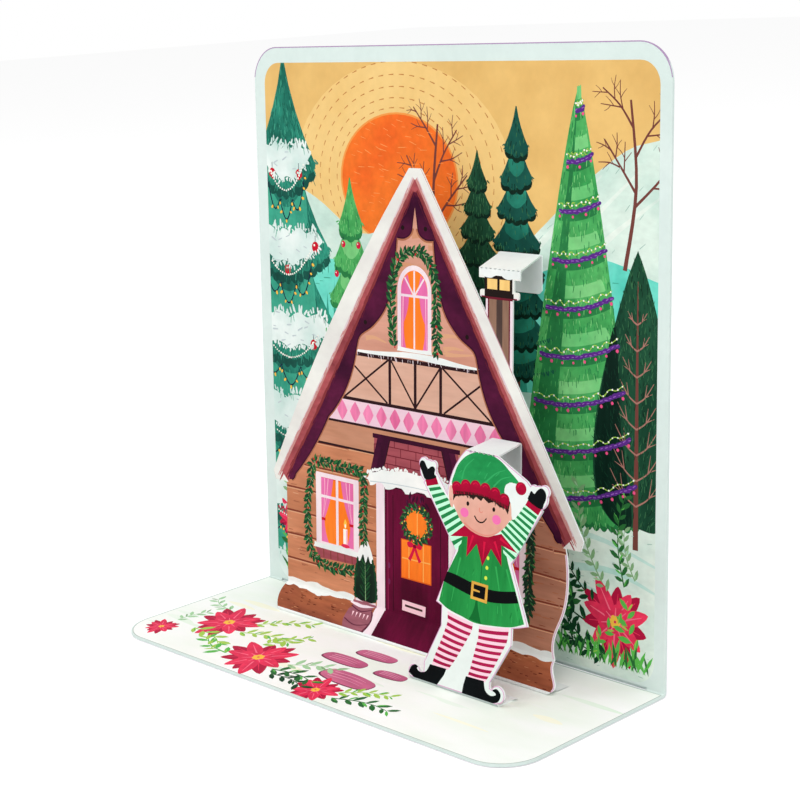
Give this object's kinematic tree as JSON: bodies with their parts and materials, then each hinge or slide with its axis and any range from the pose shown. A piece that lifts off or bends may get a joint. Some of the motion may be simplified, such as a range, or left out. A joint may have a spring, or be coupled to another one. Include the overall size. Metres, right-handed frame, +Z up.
{
  "type": "pop-up greeting card",
  "caption": "Folded greeting card standing half open, with a die-cut house front and a die-cut waving figure strapped upright inside it.",
  "frame": {"origin": "middle of the overall box, at the underside of the base, on the surface that the card stands on", "axes": "+Z up, +X to the right as seen from the front, +Y to the back, towards the back panel"},
  "size_m": [0.133, 0.059, 0.1404],
  "materials": {
    "folder_card": "satin",
    "house_card": "satin",
    "figure_card": "satin"
  },
  "bodies": {
    "root": {"card_folder": "folder_card", "house_front": "house_card", "elf_figure": "figure_card"}
  },
  "joints": []
}
